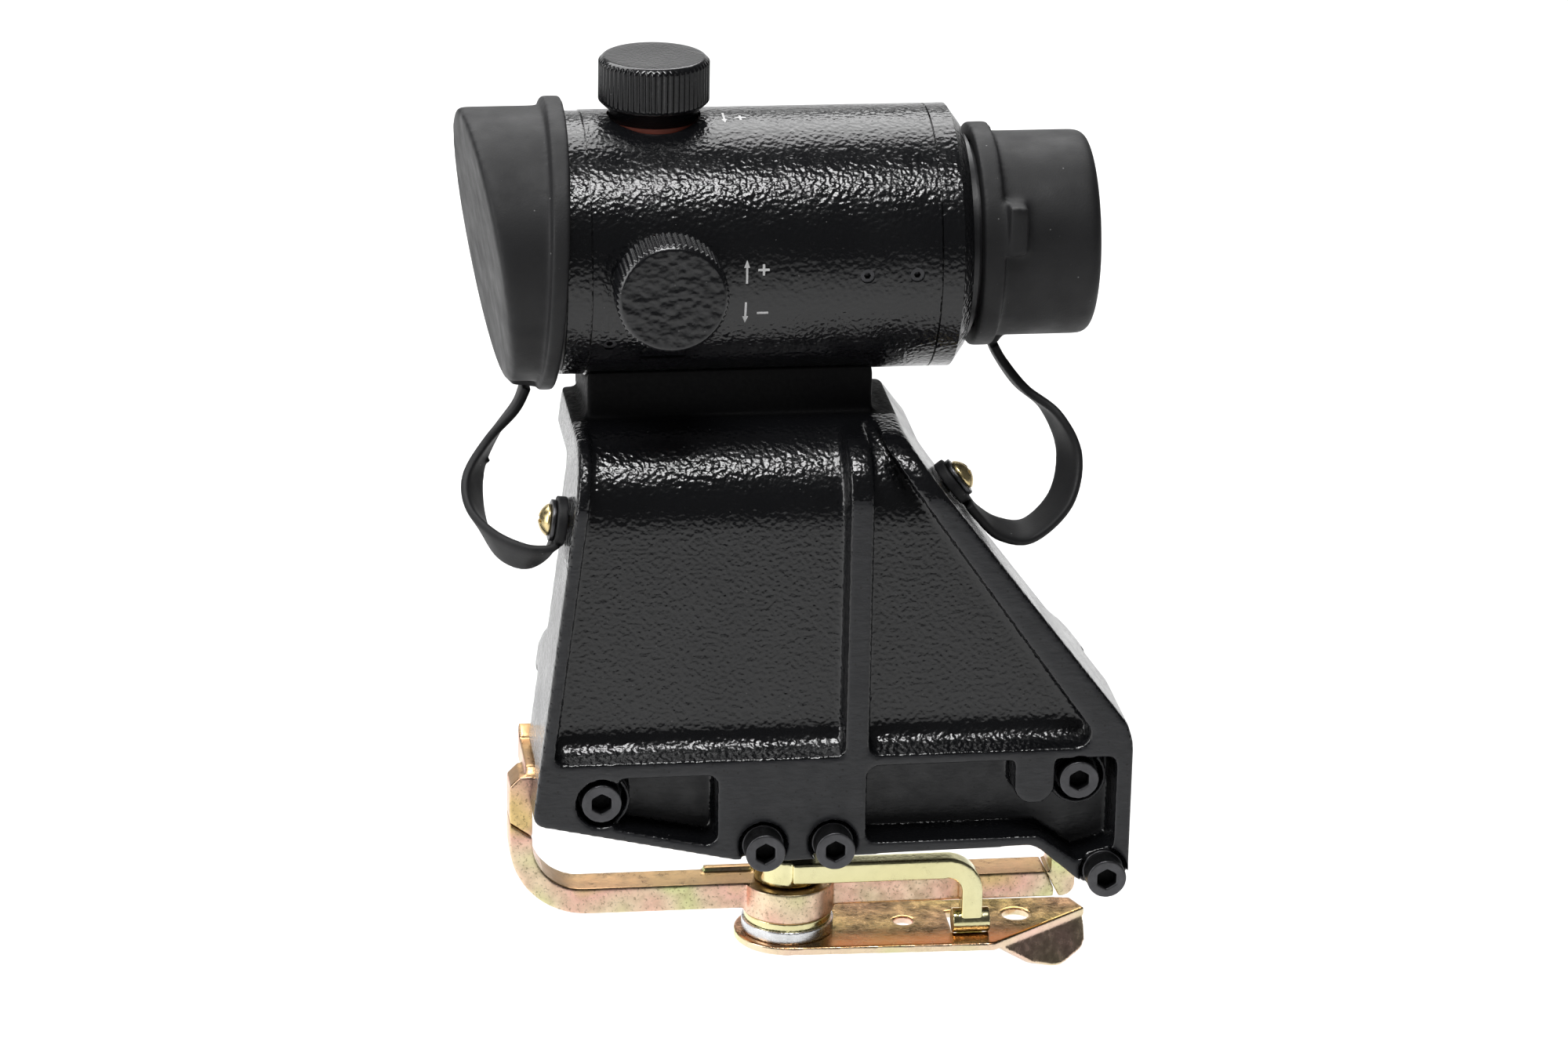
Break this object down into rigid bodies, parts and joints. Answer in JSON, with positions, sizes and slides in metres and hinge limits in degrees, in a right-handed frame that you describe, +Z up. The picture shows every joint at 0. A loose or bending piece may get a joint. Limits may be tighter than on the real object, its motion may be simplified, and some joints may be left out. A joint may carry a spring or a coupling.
{
  "type": "tube sight on side-rail bracket",
  "caption": "Short tube-type optical sight with adjustment knobs and strapped rubber caps, on a cast bracket with a dovetail rail seat and a quick-release lever clamp.",
  "frame": {"origin": "middle of the flat face that rests on the side rail", "axes": "+X along the tube towards the eyepiece, +Y out of the rail seat into the rail, +Z up"},
  "size_m": [0.1424, 0.0832, 0.1991],
  "materials": {
    "black_enamel": "glossy hammered black enamel",
    "black_anodised": "satin black",
    "black_oxide": "satin black oxide",
    "bright_steel": "bright zinc",
    "yellow_zinc": "yellow chromate zinc plate",
    "brass": "satin",
    "black_rubber": "matte",
    "red_rubber": "matte",
    "lens_glass": "coated glass",
    "green_board": "matte",
    "red_lamp": "gloss"
  },
  "bodies": {
    "root": {"bracket": "black_enamel", "guide_plate": "bright_steel", "cap_screws": "black_oxide", "lock_washers": "black_oxide", "saddle_screws": "black_oxide", "tube_body": "black_enamel", "objective_bezel": "black_enamel", "objective_hood": "black_anodised", "objective_lens": "lens_glass", "lens_retainer": "black_anodised", "eyepiece_bezel": "black_enamel", "eyepiece_tube": "black_anodised", "eyepiece_window": "lens_glass", "window_retainer": "black_anodised", "turret_bushes": "brass", "turret_seals": "red_rubber", "grub_screws": "black_oxide", "seal_plug": "black_enamel", "cell_spring": "bright_steel", "battery_holder": "black_anodised", "coin_cell": "bright_steel", "battery_contact": "brass", "circuit_board": "green_board", "objective_strap": "black_rubber", "eyepiece_strap": "black_rubber", "strap_screws": "brass", "strap_washers": "black_oxide", "stud_collar": "black_oxide"},
    "elevation_turret": {"elevation_knob": "black_enamel", "elevation_screw": "bright_steel"},
    "elevation_pin": {"elevation_plunger": "brass"},
    "windage_turret": {"windage_knob": "black_enamel", "windage_screw": "bright_steel"},
    "windage_pin": {"windage_plunger": "brass"},
    "cell_carrier": {"cell_ring": "black_anodised"},
    "cell": {"optical_cell": "black_anodised", "led_emitter": "red_lamp"},
    "battery_lid": {"battery_cap": "black_anodised"},
    "brightness_switch": {"brightness_knob": "black_anodised", "brightness_spindle": "bright_steel"},
    "front_cap": {"objective_cap": "black_rubber"},
    "rear_cap": {"eyepiece_cap": "black_rubber"},
    "clamp": {"clamp_bar": "yellow_zinc", "clamp_jaws": "yellow_zinc", "clamp_stud": "black_oxide"},
    "lever": {"brass_washer": "yellow_zinc", "steel_washers": "bright_steel", "lever_plate": "yellow_zinc", "latch_arm": "yellow_zinc", "latch_clasp": "yellow_zinc", "lever_nut": "bright_steel"}
  },
  "joints": [
    {"name": "elevation_turn", "type": "hinge", "parent": "root", "child": "elevation_turret", "pos_m": [-0.028, 0.014, 0.13], "axis": [0, 0, 1], "range_deg": [-360, 360]},
    {"name": "elevation_travel", "type": "slide", "parent": "root", "child": "elevation_pin", "axis": [0, 0, 1], "range_m": [-0.00051, 0.00051]},
    {"name": "windage_turn", "type": "hinge", "parent": "root", "child": "windage_turret", "pos_m": [-0.028, -0.016, 0.0997], "axis": [0, -1, 0], "range_deg": [-360, 360]},
    {"name": "windage_travel", "type": "slide", "parent": "root", "child": "windage_pin", "axis": [0, -1, 0], "range_m": [-0.00051, 0.00051]},
    {"name": "cell_rise", "type": "slide", "parent": "root", "child": "cell_carrier", "axis": [0, 0, 1], "range_m": [-0.00051, 0.00051]},
    {"name": "cell_shift", "type": "slide", "parent": "cell_carrier", "child": "cell", "axis": [0, -1, 0], "range_m": [-0.00051, 0.00051]},
    {"name": "battery_cap_turn", "type": "hinge", "parent": "root", "child": "battery_lid", "pos_m": [0.008, 0.05, 0.0997], "axis": [0, 1, 0], "range_deg": [0, 90]},
    {"name": "brightness_turn", "type": "hinge", "parent": "root", "child": "brightness_switch", "pos_m": [-0.022, 0.045, 0.0997], "axis": [0, 1, 0], "range_deg": [0, 300]},
    {"name": "objective_cap_pull", "type": "slide", "parent": "root", "child": "front_cap", "axis": [-1, 0, 0], "range_m": [0, 0.03], "deforming": ["objective_strap"]},
    {"name": "eyepiece_cap_pull", "type": "slide", "parent": "root", "child": "rear_cap", "axis": [1, 0, 0], "range_m": [0, 0.025], "deforming": ["eyepiece_strap"]},
    {"name": "clamp_drop", "type": "slide", "parent": "root", "child": "clamp", "axis": [0, 0, -1], "range_m": [0, 0.00252]},
    {"name": "lever_swing", "type": "hinge", "parent": "clamp", "child": "lever", "pos_m": [0, -0.012, -0.0495], "axis": [0, 0, 1], "range_deg": [-150, 0]}
  ],
  "couplings": [
    {"joint": "elevation_travel", "follows": "elevation_turn", "m_per_rad": 0.000079577},
    {"joint": "cell_rise", "follows": "elevation_turn", "m_per_rad": 0.000079577},
    {"joint": "windage_travel", "follows": "windage_turn", "m_per_rad": 0.000079577},
    {"joint": "cell_shift", "follows": "windage_turn", "m_per_rad": 0.000079577},
    {"joint": "clamp_drop", "follows": "lever_swing", "m_per_rad": -0.00095493}
  ]
}
